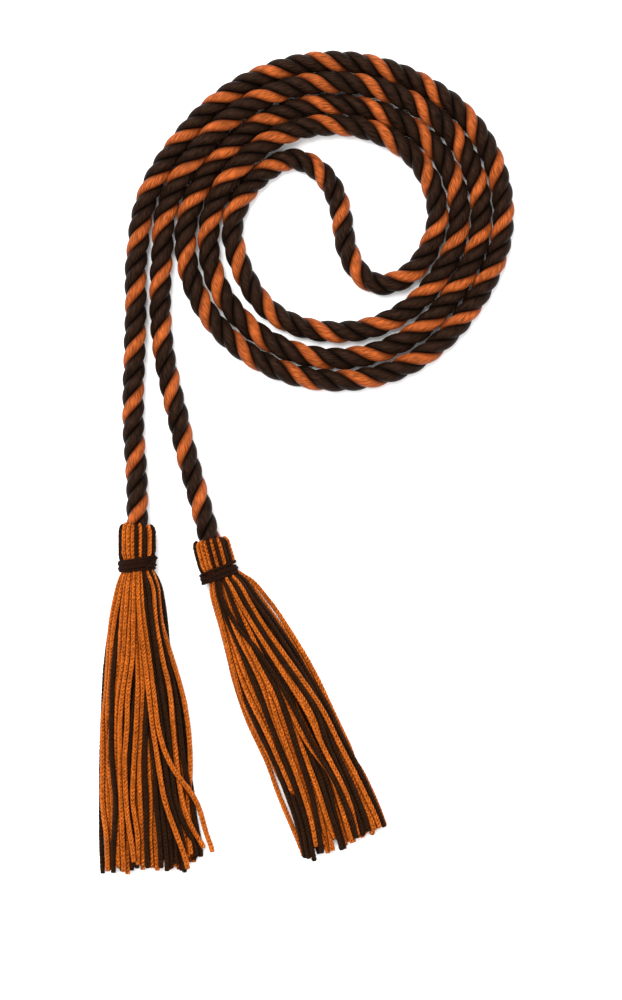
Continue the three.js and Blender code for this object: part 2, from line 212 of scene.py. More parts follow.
# The strands that show on each skirt: yarn; layer above (+) or below (-) the pile's top at the
# neck and lower down, and its rank where strands cross if that isn't the lower layer; places
# across (mm) at CHART_SHARES and at its end; and the end's share of the length
O, B = "orange", "brown"
STRANDS_1 = [
    (O, (0.2, 0.0), (-7.4, -9.9, -10.9, -11.3, -11.9, -12.2, -12.6, -11.3, -11.0), 0.992),
    (O, (-0.1, -0.2), (-5.7, -8.1, -9.5, -10.4, -10.9, -11.2, -11.3, -9.8, -10.5), 0.986),
    (B, (-1.9, 0.0), (-4.9, -6.8, -8.4, -9.2, -9.0, -8.7, -7.8, -8.2, -8.4), 0.996),
    (O, (0.1, 0.0), (-4.2, -5.7, -6.5, -8.6, -10.1, -10.5, -9.0, -9.1, -9.7), 0.989),
    (O, (0.1, 0.1), (-3.0, -4.1, -4.9, -6.8, -7.7, -7.2, -6.5, -7.3, -7.0), 0.979),
    (O, (0.2, 0.1), (-1.6, -2.4, -3.4, -5.4, -6.4, -6.0, -5.3, -5.1, -4.8), 0.992),
    (O, (-0.8, -0.6), (-2.4, -3.2, -4.1, -5.7, -6.7, -6.3, -5.1, -3.7, -3.7), 1.002),
    (O, (0.3, 0.4), (-0.8, -1.1, -1.3, -3.2, -3.7, -5.0, -4.3, -2.0, -0.6), 0.962),
    (B, (-2.2, 0.1), (-1.6, -1.9, -2.7, -4.0, -5.0, -5.7, -5.9, -5.9, -5.9), 0.992),
    (B, (-2.5, 0.3, -1), (0.1, -0.6, -0.7, -1.3, -2.1, -3.0, -3.1, -2.2, -1.9), 0.979),
    (B, (-2.3, 0.1, -1), (0.2, -0.1, -0.5, -1.2, -1.7, -2.7, -2.2, -0.5, -0.1), 0.986),
    (O, (0.1, -0.1), (-0.9, -0.4, 0.3, 0.5, -0.1, -1.4, -1.8, 0.2, -0.1), 0.969),
    (O, (0.2, 0.1), (0.2, 0.9, 2.0, 2.7, 1.7, 1.0, 1.1, 2.1, 2.5), 0.972),
    (O, (0.4, 1.0), (0.9, 2.0, 3.7, 5.1, 6.1, 7.9, 10.2, 14.8, 18.6), 0.982),
    (O, (0.1, 1.4), (1.2, 2.2, 3.7, 5.5, 7.7, 12.6, 21.7, 25.6, 27.9), 0.929),
    (O, (-0.7, 0.0), (0.5, 1.1, 2.3, 3.7, 4.0, 4.3, 5.3, 5.4, 5.8), 0.979),
    (O, (-0.9, -0.2), (0.6, 1.4, 2.5, 4.0, 4.9, 5.4, 5.4, 6.3, 7.2), 0.989),
    (B, (-0.4, 0.3), (2.0, 2.8, 3.4, 3.7, 3.4, 2.8, 3.5, 3.6, 4.0), 0.979),
    (B, (-0.5, 0.4), (2.5, 3.4, 4.3, 4.9, 4.9, 6.3, 7.3, 8.5, 8.7), 0.979),
    (B, (0.5, 0.4), (2.5, 3.7, 5.8, 7.8, 9.6, 10.2, 12.1, 16.5, 17.3), 0.996),
    (B, (0.5, 0.4), (4.4, 5.3, 7.5, 9.4, 11.2, 12.2, 13.9, 18.1, 19.8), 0.946),
    (B, (-0.6, 0.3), (3.6, 4.8, 7.5, 10.8, 10.6, 8.5, 8.6, 10.3, 10.9), 0.989),
    (B, (-0.8, 0.2), (3.8, 5.3, 6.9, 8.4, 8.4, 8.6, 10.0, 12.1, 12.4), 0.982),
    (B, (-0.8, 0.0), (5.1, 6.3, 7.9, 10.1, 10.9, 11.4, 12.0, 13.6, 13.9), 0.966),
    (O, (0.6, 0.7), (6.4, 6.9, 9.2, 12.1, 13.4, 14.3, 16.5, 21.7, 25.3), 0.916),
    (O, (0.4, 0.2), (7.8, 8.8, 12.5, 16.4, 18.6, 19.3, 18.2, 19.2, 19.3), 0.939),
    (B, (-0.1, 0.3), (6.9, 7.5, 10.6, 13.9, 15.6, 16.7, 19.5, 22.3, 22.8), 0.946),
    (B, (0.4, 0.2), (8.8, 10.4, 11.4, 14.8, 16.9, 17.7, 19.0, 20.2, 20.4), 0.956),
    (B, (-0.3, -0.2), (-6.0, -9.6, -11.4, -12.4, -13.1, -13.2, -13.2, -13.2, -12.5), 1.002),
]
STRANDS_2 = [
    (O, (0.4, 0.1), (-4.7, -4.5, -4.4, -4.4, -3.3, -0.9, -0.1, 1.6, 3.8), 1.0),
    (O, (0.3, -0.2), (-3.2, -3.5, -3.5, -3.4, -2.0, 0.5, 3.2, 4.7, 4.9), 0.999),
    (O, (-0.6, 0.2), (-2.5, -2.7, -2.5, -0.8, 1.6, 3.6, 5.6, 6.3, 6.0), 0.977),
    (O, (-0.2, -0.1), (-2.4, -1.7, -1.2, -0.2, 2.0, 4.9, 6.9, 7.4, 7.6), 0.945),
    (B, (-1.6, 0.4), (-3.4, -3.7, -3.4, -2.8, -1.0, 1.4, 3.4, 4.7, 4.9), 1.001),
    (B, (-1.6, 0.4), (-2.5, -2.7, -2.9, -1.5, 0.7, 2.9, 4.4, 5.8, 5.5), 1.008),
    (B, (-0.4, 0.4, 1.2), (-2.1, -0.9, 1.1, 2.7, 3.7, 5.2, 6.6, 7.1, 6.6), 1.018),
    (O, (0.3, 0.1), (-0.4, 0.6, 3.0, 5.3, 5.9, 7.2, 8.8, 8.7, 8.7), 0.973),
    (O, (0.3, 0.2), (0.8, 1.9, 4.7, 7.7, 8.2, 9.0, 9.7, 9.8, 9.8), 0.976),
    (O, (-2.0, 0.4, 0.0), (0.9, 2.0, 4.0, 6.5, 7.1, 8.2, 8.8, 9.1, 9.2), 0.971),
    (B, (0.3, 0.4, 0.9), (2.1, 3.2, 5.5, 8.6, 10.2, 10.8, 11.6, 11.2, 10.1), 0.998),
    (O, (-2.0, 0.5), (1.6, 3.4, 6.0, 9.2, 11.0, 13.2, 14.3, 15.2, 16.4), 0.961),
    (O, (-2.0, 0.8, 1.0), (2.1, 4.0, 6.7, 10.3, 12.2, 15.7, 20.8, 21.3, 21.4), 0.991),
    (O, (-2.0, 0.4, -0.1), (1.6, 3.4, 7.0, 10.5, 13.6, 15.8, 17.5, 18.7, 19.4), 0.997),
    (B, (0.5, 0.5, 1.4), (-1.7, 1.3, 7.2, 11.2, 14.4, 17.4, 21.4, 23.6, 23.7), 0.979),
    (B, (0.4, 0.3), (2.9, 5.3, 9.1, 12.7, 14.6, 14.5, 16.6, 16.7, 16.9), 1.005),
    (B, (-0.4, 0.0, 0.3), (4.3, 5.6, 7.8, 11.5, 14.0, 16.1, 18.5, 18.2, 17.9), 1.007),
    (O, (0.4, 0.7), (3.8, 6.7, 10.5, 14.4, 18.0, 20.1, 22.9, 24.4, 24.4), 0.981),
    (O, (-1.6, 0.5, 0.0), (5.6, 8.6, 11.5, 15.3, 19.1, 21.3, 22.7, 22.5, 22.0), 0.992),
    (B, (0.5, 0.0, 0.4), (6.1, 8.8, 12.6, 17.0, 21.2, 22.3, 24.5, 25.9, 26.1), 0.978),
    (B, (0.6, -0.1, 0.2), (7.5, 10.4, 13.7, 18.1, 21.5, 23.3, 25.6, 27.5, 28.1), 0.969),
    (O, (-1.6, 0.7, -0.1), (7.7, 10.1, 12.6, 16.8, 20.4, 23.6, 27.1, 29.8, 30.3), 0.971),
    (O, (-1.5, 0.8, 0.6), (7.2, 9.9, 14.3, 19.0, 23.4, 26.0, 28.9, 31.5, 33.2), 0.967),
    (B, (0.6, 0.0, 0.3), (8.6, 12.4, 16.5, 20.2, 23.5, 25.6, 28.0, 30.7, 31.9), 0.968),
    (B, (0.5, 0.5), (9.7, 14.1, 18.1, 21.4, 25.3, 27.6, 30.8, 32.8, 34.1), 0.97),
    (B, (0.4, 0.1, 0.3), (8.2, 12.7, 17.0, 20.7, 23.9, 26.6, 29.1, 31.3, 32.3), 0.969),
    (O, (-0.2, 0.2, 0.0), (11.0, 14.8, 19.3, 22.8, 24.8, 27.2, 30.0, 32.0, 33.0), 0.97),
    (O, (0.1, -0.5), (12.7, 17.2, 20.3, 23.2, 25.2, 27.5, 30.0, 32.0, 32.7), 0.966),
    (O, (-0.9, 0.4, -0.1), (1.4, 1.9, 3.6, 6.4, 8.7, 10.7, 12.5, 13.2, 12.1), 1.007),
    (O, (-0.9, 0.3, -0.2), (2.2, 2.9, 4.7, 7.6, 10.2, 12.4, 14.1, 14.7, 14.0), 1.001),
    (B, (-0.9, 0.0), (-0.1, 0.9, 1.9, 2.9, 4.4, 6.1, 7.4, 8.1, 8.3), 1.001),
]

# What differs between the tassels. Skirt rows: share of the length, then middle and half width as
# shares of the end width, and height as a share of the head's.
TASSEL_1 = {
    "name": "tassel_1", "head": 12 * MM, "windings": 5, "length": 110 * MM, "end_width": 36.8 * MM,
    "bulge": 1.9 * MM,
    "skirt": np.array([
        (0, 0.025, 0.17, 0.97), (0.08, -0.015, 0.255, 0.95), (0.25, -0.005, 0.315, 0.86),
        (0.46, 0.055, 0.43, 0.74), (0.7, 0.065, 0.45, 0.62), (1, 0.1, 0.5, 0.5),
    ]),
    # strands that show on the head, left to right: place across (mm), its skirt strand
    "head_strands": [
        (-5.95, 28), (-4.5, 0), (-2.9, 3), (-1.3, 4),
        (0.1, 9), (1.35, 12), (2.9, 19), (4.7, 24),
        (6.1, 27),
    ],
    "skirt_strands": STRANDS_1,
    "under": 22,
}
TASSEL_2 = {
    "name": "tassel_2", "head": 10.8 * MM, "windings": 4, "length": 106 * MM, "end_width": 32.4 * MM,
    "bulge": 0.4 * MM,
    "skirt": np.array([
        (0, 0.02, 0.19, 0.97), (0.06, 0.1, 0.3, 0.95), (0.22, 0.175, 0.37, 0.86),
        (0.45, 0.27, 0.44, 0.74), (0.7, 0.42, 0.485, 0.62), (1, 0.545, 0.5, 0.5),
    ]),
    "head_strands": [
        (-6.0, 30), (-4.8, 0), (-3.3, 2), (-1.9, 7),
        (-0.7, 6), (0.4, 8), (1.6, 14), (3.0, 17),
        (4.2, 19), (5.3, 24), (6.1, 26),
    ],
    "skirt_strands": STRANDS_2,
    "under": 22,
}

# Yarn colours, linear: LIGHT is where the tassels' orange catches the light
ROPE_ORANGE = (0.25, 0.0535, 0.0112)
ROPE_BROWN = (0.0072, 0.0029, 0.0015)
# painted shade in the creases of the orange ply
ROPE_ORANGE_GROOVE_SHADE = (0.04, 0.006, 0.001)
STRAND_ORANGE = (0.44, 0.088, 0.0035)
STRAND_LIGHT = (0.78, 0.19, 0.024)
# painted shade in the orange strands' stitch grooves and seam
STRAND_ORANGE_GROOVE_SHADE = (0.05, 0.004, 0.0003)
STRAND_BROWN = (0.021, 0.0078, 0.0033)
THREAD_BROWN = (0.011, 0.0038, 0.002)
# The yarns' surface: relief of a crest that has the full colour, below which painted groove shade
# comes in, noise across and along the filaments, and how much they stand out
ROPE_SURFACE = {"crest": 0.85, "fibre": 28, "streak": 2.6, "bump": 0.9, "roughness": 0.5}
STRAND_SURFACE = {"crest": 1.0, "fibre": 60, "streak": 20, "bump": 0.4}
BUMP_HEIGHT = 0.3 * MM
NOISE_DETAIL = 3.0
# the lightest filaments are partly a painted highlight
TONE_PLACES = (0.4, 0.6)  # noise at which the filaments are darkest and lightest
SHADE_SCALE = 160.0  # slow changes of shade, per metre
SHADE_NOISE = (0.3, 0.7)
SHADE_RANGE = (0.82, 1.14)
SHEEN_ROUGHNESS = 0.4

# Floor and light
FLOOR_HALF = 3.0
FLOOR_TONES = (0.94, 0.97)
FLOOR_GRAIN = 40
FLOOR_ROUGHNESS = 0.9
FLOOR_SPECULAR = 0.1
WORLD_STRENGTH = 1.05
# place, size and power of each light, all aimed at the middle
LIGHTS = {"key": ((-0.4, 0.5, 1.3), 1.0, 31), "fill": ((0.6, -0.4, 1.1), 1.2, 5)}


# Curves

def hermite(share, start, end, slope, end_slope):
    """A place on a smooth curve from start to end, with its slopes there."""
    square, cube = share ** 2, share ** 3
    return ((2 * cube - 3 * square + 1) * start + (cube - 2 * square + share) * slope
            + (3 * square - 2 * cube) * end + (cube - square) * end_slope)


def catmull_rom(points, per_span):
    """Points of a centripetal Catmull-Rom curve through points, as three.js makes it."""
    ends = np.vstack([2 * points[0] - points[1], points, 2 * points[-1] - points[-2]])
    share = np.linspace(0, 1, per_span, endpoint=False)[:, None]
    parts = []
    for i in range(1, len(ends) - 2):
        p0, p1, p2, p3 = ends[i - 1:i + 3]
        d0, d1, d2 = (math.sqrt(np.linalg.norm(b - a)) for a, b in ((p0, p1), (p1, p2), (p2, p3)))
        m1 = ((p1 - p0) / d0 - (p2 - p0) / (d0 + d1) + (p2 - p1) / d1) * d1
        m2 = ((p2 - p1) / d1 - (p3 - p1) / (d1 + d2) + (p3 - p2) / d2) * d1
        parts.append(hermite(share, p1, p2, m1, m2))
    parts.append(points[-1:])
    return np.vstack(parts)


def lengths_along(points):
    steps = np.linalg.norm(np.diff(points, axis=0), axis=1)
    return np.concatenate([[0.0], np.cumsum(steps)])


def even_points(points, count):
    """count points at even distances along a dense line, and its length."""
    along = lengths_along(points)
    places = np.linspace(0, along[-1], count)
    return np.stack([np.interp(places, along, points[:, i]) for i in range(3)], axis=1), along[-1]


def unit(vectors):
    return vectors / np.linalg.norm(vectors, axis=1, keepdims=True)


def tangents_of(points):
    return unit(np.gradient(points, axis=0))


def smooth_noise(rng, count, size, every):
    """Seeded smooth values from -size to size, one about every so many places."""
    knots = rng.uniform(-1, 1, max(4, int(count / every) + 3))
    place = np.linspace(0, len(knots) - 1.001, count)
    low = place.astype(int)
    share = place - low
    share = share * share * (3 - 2 * share)
    return size * (knots[low] * (1 - share) + knots[low + 1] * share)


# Meshes

def rings_about(line, first, second, x, y):
    """Rings about a line: x along the first direction and y along the second."""
    rings = (line[:, None, :] + first[:, None, :] * x[:, :, None]
             + second[:, None, :] * y[:, :, None])
    rings[..., 2] = np.maximum(rings[..., 2], LOWEST)
    return rings


def places_round(angles, radius, count):
    """How far round a tube its points are, with the first one again at the end."""
    return np.tile(np.append(angles, 2 * math.pi) * radius, (count, 1))


def tube_mesh(name, tubes):
    """One mesh of closed tubes. Each tube is a dict of rings (n, m, 3), and per point, relief and
    across (metres round it), and per ring, along."""
    points, loops, counts, uvs, reliefs = [], [], [], [], []
    start = 0
    for tube in tubes:
        rings = tube["rings"]
        n, m, _ = rings.shape
        points.append(rings.reshape(-1, 3))
        reliefs.append(tube["relief"].reshape(-1))
        i, j = np.meshgrid(np.arange(n - 1), np.arange(m), indexing="ij")
        k = (j + 1) % m
        quads = np.stack([i * m + j, i * m + k, (i + 1) * m + k, (i + 1) * m + j], axis=-1)
        loops.append(quads.reshape(-1) + start)
        counts.append(np.full(quads.shape[0] * quads.shape[1], 4))
        across, along = tube["across"], tube["along"]
        corners = ((i, j), (i, j + 1), (i + 1, j + 1), (i + 1, j))
        pairs = [(across[a, b], along[a]) for a, b in corners]
        uvs.append(np.stack([np.stack(pair, axis=-1) for pair in pairs], axis=-2).reshape(-1, 2))
        for row, turn in ((0, -1), (n - 1, 1)):
            cap = start + row * m + np.arange(m)[::turn]
            loops.append(cap)
            counts.append(np.array([m]))
            uvs.append(np.stack([across[row, :m][::turn], np.full(m, along[row])], axis=-1))
        start += n * m
    points, loops = np.vstack(points), np.concatenate(loops)
    counts, uvs = np.concatenate(counts), np.vstack(uvs)
    mesh = bpy.data.meshes.new(name)
    mesh.vertices.add(len(points))
    mesh.vertices.foreach_set("co", points.astype(np.float32).ravel())
    mesh.loops.add(len(loops))
    mesh.loops.foreach_set("vertex_index", loops.astype(np.int32))
    mesh.polygons.add(len(counts))
    starts = np.concatenate([[0], np.cumsum(counts)[:-1]])
    mesh.polygons.foreach_set("loop_start", starts.astype(np.int32))
    mesh.polygons.foreach_set("loop_total", counts.astype(np.int32))
    mesh.polygons.foreach_set("use_smooth", np.ones(len(counts), dtype=bool))
    layer = mesh.uv_layers.new(name="yarn")
    layer.data.foreach_set("uv", (uvs * UV_PER_METRE).astype(np.float32).ravel())
    relief = mesh.attributes.new("relief", "FLOAT", "POINT")
    relief.data.foreach_set("value", np.concatenate(reliefs).astype(np.float32))
    mesh.update(calc_edges=True)
    return mesh


def add_object(name, data):
    item = bpy.data.objects.new(name, data)
    bpy.context.scene.collection.objects.link(item)
    return item


def add_piece(name, tubes, material, nodes=()):
    mesh = tube_mesh(name, tubes)
    mesh.materials.append(material)
    piece = add_object(name, mesh)
    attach(piece, "root")
    if nodes:
        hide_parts(*nodes)
    return piece


# Camera

def make_camera():
    data = bpy.data.cameras.new("camera")
    data.lens = LENS
    data.sensor_width = SENSOR
    data.sensor_fit = "AUTO"
    data.clip_start, data.clip_end = CLIP
    camera = add_object("camera", data)
    camera.location = (*VIEW_MIDDLE, OBJECT_HEIGHT + VIEW_LENGTH * LENS / SENSOR)
    camera.rotation_euler = (0, 0, 0)
    bpy.context.scene.camera = camera


# Rope

def coil_value(column, degrees):
    rows = len(COIL_TABLE)
    place = (degrees % 360) / (360 / rows)
    row = int(place)
    before, first, second, after = (COIL_TABLE[(row + i) % rows][column] for i in (-1, 0, 1, 2))
    return hermite(place - row, first, second, (second - before) / 2, (after - first) / 2)


def arm_points(arm):
    start, end, rides = arm
    points = []
    for degrees in range(start, end + 1, ARM_STEP):
        lane = 2 * (degrees - start) / 360
        spacing = coil_value(1, degrees)
        slack = coil_value(2, degrees) if lane < 1 else 0
        radius = COIL_RADIUS * coil_value(0, degrees) + LANE_SPACING * ((lane - 1) * spacing - slack)
        lift = LANE_SPACING * math.sqrt(max(0, 1 - spacing ** 2)) if rides else 0
        angle = math.radians(degrees)
        points.append((radius * math.cos(angle), radius * math.sin(angle), REST_HEIGHT + lift))
    return np.array(points)


def leg_points(arm_end, leg):
    left = np.linalg.norm(leg[-1] - leg, axis=1)
    share = np.clip(left / RISE_LENGTH, 0, 1)
    height = REST_HEIGHT + (AXIS_HEIGHT - REST_HEIGHT) * (1 - share * share * (3 - 2 * share))
    return np.column_stack([leg + arm_end[:2], height])


def mouth_of(leg):
    way = (leg[-1] - leg[-2]) * (1, 1, 0)
    return leg[-1], way / np.linalg.norm(way)


def rope_route():
    """The route's points as part.mjs has them, and each tassel's mouth and way."""
    middle = np.array([*COIL_MIDDLE, 0])
    arm_1, arm_2 = arm_points(ARM_1), arm_points(ARM_2)
    leg_1, leg_2 = leg_points(arm_1[-1], LEG_1), leg_points(arm_2[-1], LEG_2)
    mouths = [mouth_of(leg_1), mouth_of(leg_2)]
    tucked = [mouth + way * (ROPE_TUCK - END_CLEARANCE) for mouth, way in mouths]
    bend = np.column_stack([S_BEND, np.full(len(S_BEND), REST_HEIGHT)])
    points = np.vstack([tucked[0], leg_1[::-1], arm_1[::-1], bend, arm_2, leg_2, tucked[1]])
    return points + middle, [(mouth + middle, way) for mouth, way in mouths]


def ply_section():
    """A ply's section: places outwards and across from the rope's axis, and the relief."""
    angles = np.radians(np.linspace(-LOBE_HALF_ANGLE, LOBE_HALF_ANGLE, LOBE_POINTS))
    inner = LOBE_MIDDLE * np.sin(angles)
    radius = LOBE_MIDDLE * np.cos(angles) + np.sqrt(LOBE_RADIUS ** 2 - inner ** 2)
    lobe = list(zip(radius * np.cos(angles), radius * np.sin(angles)))
    # relief is 1 on the crest and 0 at the lobe's edges and on the flanks, where painted shade darkens
    # the creases between the plies
    relief = (radius - radius.min()) / (radius.max() - radius.min())
    flank = math.radians(FLANK_ANGLE)
    half_gap = PLY_GAP / 2
    left = [(far * math.cos(flank) + half_gap * math.sin(flank),
             far * math.sin(flank) - half_gap * math.cos(flank)) for far in FLANK_PLACES]
    right = [(out, -across) for out, across in left[::-1]]
    section = np.array(lobe + left + [(half_gap / math.sin(flank), 0)] + right)
    flat = np.zeros(len(section) - len(relief))
    return section[:, 0], section[:, 1], np.concatenate([relief, flat])


def ply_tube(line, length, ply, rng):
    """One ply along the rope's line, thinner in places but nowhere fuller than its section."""
    count = len(line)
    share = np.linspace(0, 1, count)
    along = tangents_of(line)
    side = unit(np.cross((0, 0, 1), along))
    up = np.cross(along, side)
    turns = share * length / TWIST_PITCH + np.interp(share, TWIST_TABLE[:, 0], TWIST_TABLE[:, 1])
    turn = 2 * math.pi * (turns + ply / 3) + math.radians(TWIST_START)
    outwards = side * np.cos(turn)[:, None] + up * np.sin(turn)[:, None]
    sideways = -side * np.sin(turn)[:, None] + up * np.cos(turn)[:, None]
    out, across, relief = ply_section()
    full = 1 - PLY_THINNER * (1 + smooth_noise(rng, count, 1, PLY_UNEVEN_EVERY)) / 2
    rings = rings_about(line, outwards, sideways, out * full[:, None], across * full[:, None])
    # the yarn's coordinates go on evenly over the flanks, which don't show
    angle = np.arctan2(across, out)
    flanks = len(angle) - LOBE_POINTS
    last = angle[LOBE_POINTS - 1]
    angle[LOBE_POINTS:] = np.linspace(last, 2 * math.pi + angle[0], flanks + 2)[1:-1]
    angle = np.append(angle, angle[0] + 2 * math.pi)
    around = (turn[:, None] + angle[None, :]) * ROPE_DIAMETER / 2
    return {"rings": rings, "relief": np.tile(relief, (count, 1)), "across": around,
            "along": share * length}


def make_rope(materials):
    route, mouths = rope_route()
    dense = catmull_rom(route, ROPE_SPAN_STEPS)
    length = lengths_along(dense)[-1]
    line, length = even_points(dense, int(length / TWIST_PITCH * RINGS_PER_TURN))
    rng = np.random.default_rng(SEED)
    plies = []
    for ply, (name, yarn) in enumerate((
            ("ply_orange", "orange"), ("ply_brown_1", "brown"), ("ply_brown_2", "brown"))):
        tube = ply_tube(line, length, ply, rng)
        plies.append(add_piece(name + "_yarn", [tube], materials["rope_" + yarn],
                               [name]))
    return plies, line, length, mouths


# Head and skirt of a tassel, in its own frame: across, along from the mouth, and up

def head_ellipse(place):
    """Half width and half height for the middles of the head's outer strands at a place."""
    rounding = np.clip(1 - place / SHOULDER, 0, 1) ** 2
    half_width = (HEAD_WIDTH / 2) * (1 - SHOULDER_NARROWS * rounding) - STRAND_RADIUS
    half_height = (HEAD_HEIGHT / 2) * (1 - SHOULDER_LOWERS * rounding) - STRAND_RADIUS
    return half_width, half_height


def neck_end(tassel):
    return tassel["head"] + tassel["windings"] * THREAD_DIAMETER + NECK_SPARE


def outline_at(tassel, along):
    """Middle, half width and height of the pile of strands at places from the mouth."""
    table = tassel["skirt"]
    share = (along - neck_end(tassel)) / tassel["length"]
    scale = (tassel["end_width"], tassel["end_width"], HEAD_HEIGHT)
    middle, half, height = (scale[i] * np.interp(share, table[:, 0], table[:, i + 1])
                            for i in range(3))
    in_neck = share < 0
    middle[in_neck] = 0
    half[in_neck] = NECK_HALF_WIDTH
    return middle, half, height, in_neck


def radius_at(tassel, along):
    """A strand's radius: squeezed under the binding, looser lower down the skirt, full on the head."""
    share = (along - neck_end(tassel)) / tassel["length"]
    below = np.interp(share, FULLNESS[:, 0], FULLNESS[:, 1])
    above = np.clip((tassel["head"] - along) / HEAD_EASE, 0, 1)
    return STRAND_RADIUS * np.maximum(below, NECK_SQUEEZE + (1 - NECK_SQUEEZE) * above)


def strand_list(tassel, rng):
    """The skirt's strands: those of the chart, then the ones below them."""
    strands = []
    for yarn, layers, places, cut in tassel["skirt_strands"]:
        strands.append({"yarn": yarn, "layers": layers[:2], "rank": layers[-1], "cut": cut,
                        "shares": np.array([*CHART_SHARES, cut]),
                        "places": np.array(places) * MM, "charted": True})
    count = tassel["under"]
    for i in range(count):
        across = 2 * (i + 0.5) / count - 1
        across = np.clip(across + rng.uniform(-JITTER_UNDER, JITTER_UNDER), -EDGE_UNDER, EDGE_UNDER)
        yarn = "brown" if rng.random() < BROWN_UNDER else "orange"
        strands.append({"yarn": yarn, "height": HEIGHTS_UNDER[i % 2], "rank": 0, "across": across,
                        "cut": rng.uniform(*CUTS_UNDER), "charted": False})
    return strands


def pile_top(across, height, share, radius):
    """How high the pile of strands is at places across it: a mound on the surface, and an oval
    about the head's axis where it leaves the neck."""
    near_neck = np.clip(1 - share / PILE_EDGE, 0, 1) ** 2
    edge = 2 * radius + (AXIS_HEIGHT - radius) * near_neck
    return edge + (height - edge) * (1 - np.clip(np.abs(across), 0, 1) ** 4)


def chart_row(share, shares, places):
    """A chart row's places at all shares, on a smooth curve."""
    wide = np.concatenate([[shares[0] - CHART_MARGIN], shares, [shares[-1] + CHART_MARGIN]])
    row = np.concatenate([[places[0] * CHART_START], places, [2 * places[-1] - places[-2]]])
    index = np.clip(np.searchsorted(shares, share) - 1, 0, len(shares) - 2)
    t = (share - shares[index]) / (shares[index + 1] - shares[index])
    p0, p1, p2, p3 = (row[index + i] for i in range(4))
    w0, w1, w2, w3 = (wide[index + i] for i in range(4))
    m1 = (p2 - p0) / (w2 - w0) * (w2 - w1)
    m2 = (p3 - p1) / (w3 - w1) * (w2 - w1)
    return hermite(np.clip(t, 0, CHART_BEYOND), p1, p2, m1, m2)


def strand_goals(strands, charted, share, pile, radius, rng):
    """Each strand's goals at the stations, its room outside the pile, and its pull to the goals."""
    middle, half, height, _ = pile
    n, m = len(strands), len(share)
    goal, room, pull = np.zeros((n, m, 2)), np.zeros((n, m)), np.zeros((n, 1, 2))
    spread = np.clip((share + SPREAD[0]) / SPREAD[1], 0, 1)
    for i, strand in enumerate(strands):
        if strand["charted"]:
            x = (chart_row(share, strand["shares"], strand["places"])
                 * (NECK_SHARE + (1 - NECK_SHARE) * spread))
        else:
            shown = np.sort(goal[charted, :, 0], axis=0)
            low, high = shown[LOOSE], shown[-1 - LOOSE]
            x = low + (high - low) * (strand["across"] + 1) / 2
        x = x + smooth_noise(rng, m, *WANDER) * MM * np.clip(share * WANDER_FROM, 0, 1)
        if strand["charted"]:
            pull[i] = PULL_CHARTED
            layer = np.interp(share, LAYER_SHARES, strand["layers"])
            layer = layer + smooth_noise(rng, m, *LAYER_UNEVEN)
            top = pile_top((x - middle) / half, height, share, radius)
            z = top - radius + layer * LAYER_RISE * radius
            room[i] = ROOM + np.maximum(0, layer) * LAYER_ROOM * MM
        else:
            pull[i] = PULL_UNDER
            z = radius * strand["height"]
        goal[i, :, 0], goal[i, :, 1] = x, np.maximum(z, radius)
    return goal, room, pull


def crossing_order(strands, charted, goal, rng):
    """Which pairs of strands cross, and whether the first lies above (1) or below (-1)."""
    order = goal[:, None, :, 0] - goal[None, :, :, 0]
    crosses = (order.min(-1) < -CROSSING) & (order.max(-1) > CROSSING)
    crosses &= charted[:, None] & charted[None, :]
    rank = np.array([strand["rank"] for strand in strands])
    rank = rank + rng.uniform(0, RANK_UNEVEN, len(strands))
    return crosses[:, :, None], np.sign(rank[:, None] - rank[None, :])[:, :, None]


def smoothing(rows, share):
    """A move of each row's inner places a share of the way to their neighbours' middle."""
    return share * ((rows[:, :-2] + rows[:, 2:]) / 2 - rows[:, 1:-1])


def pack_strands(tassel, strands, rng):
    """Pushes the strands clear of each other within the pile's outline: stations from the neck to
    the ends, places of the strands' middles (strand, station, 2), and radii."""
    start = tassel["head"] + PACK_START
    end = neck_end(tassel) + tassel["length"] * PACK_END
    along = np.linspace(start, end, int((end - start) / STATION))
    share = (along - neck_end(tassel)) / tassel["length"]
    pile = outline_at(tassel, along)
    radius = radius_at(tassel, along)
    charted = np.array([strand["charted"] for strand in strands])
    goal, room, pull = strand_goals(strands, charted, share, pile, radius, rng)
    crosses, above = crossing_order(strands, charted, goal, rng)
    apart = ~np.eye(len(strands), dtype=bool)[:, :, None]
    need = 2 * radius * SQUASH
    place = goal + rng.uniform(-JITTER, JITTER, goal.shape) * MM
    for step in range(PACK_STEPS):
        ease = max(0.0, 1 - step / EASE_STEPS)
        place += pull * (PULL_LEFT + (1 - PULL_LEFT) * ease) * (goal - place)
        for _ in range(2):
            place[:, 1:-1] += smoothing(place - goal, SMOOTHING)
        for _ in range(2):
            gap = place[:, None] - place[None, :]
            dist = np.sqrt((gap ** 2).sum(-1)) + 1e-9
            near = apart & (dist < need)
            push = np.where(near & ~crosses, (need - dist) / dist, 0)
            place += PUSH * (push[..., None] * gap).sum(1)
            rise = np.sqrt(np.maximum(0, need ** 2 - gap[..., 0] ** 2))
            lack = rise - gap[..., 1] * above
            lift = np.where(near & crosses & (lack > 0), lack * above, 0)
            place[..., 1] += LIFT * lift.sum(1)
            clamp_to_pile(place, room, pile, share, radius, charted)
    for _ in range(2):
        place[:, 1:-1] += smoothing(place, 0.5)
    return along, place, radius


